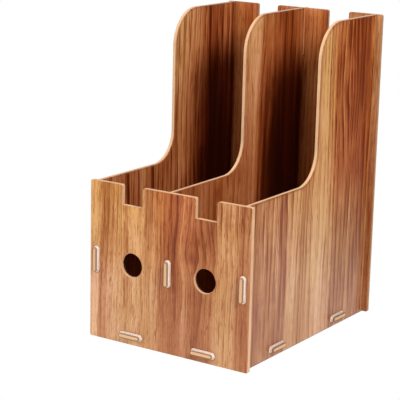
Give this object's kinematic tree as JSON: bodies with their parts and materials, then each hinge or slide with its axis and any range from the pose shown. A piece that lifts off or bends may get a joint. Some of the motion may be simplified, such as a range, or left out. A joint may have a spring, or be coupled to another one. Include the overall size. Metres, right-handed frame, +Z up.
{
  "type": "magazine file",
  "caption": "Open-topped desk file with twin upright compartments, low notched front, sweeping stepped sides and a full-height back, slotted together from flat boards.",
  "frame": {"origin": "on the resting plane, midway across the width and the depth, tabs included", "axes": "+Z up; -Y towards the low front; +X to the right as seen from the front"},
  "size_m": [0.1886, 0.2544, 0.32],
  "materials": {
    "front_film": "satin printed wood grain, golden brown",
    "back_film": "satin printed wood grain, orange brown",
    "left_film": "satin printed wood grain, russet brown",
    "right_film": "satin printed wood grain, golden to russet brown",
    "divider_film": "satin printed wood grain, russet brown",
    "base_film": "satin printed wood grain, brown"
  },
  "bodies": {
    "root": {"front_panel": "front_film", "back_panel": "back_film", "left_side_panel": "left_film", "right_side_panel": "right_film", "centre_divider": "divider_film", "base_panel": "base_film"}
  },
  "joints": []
}
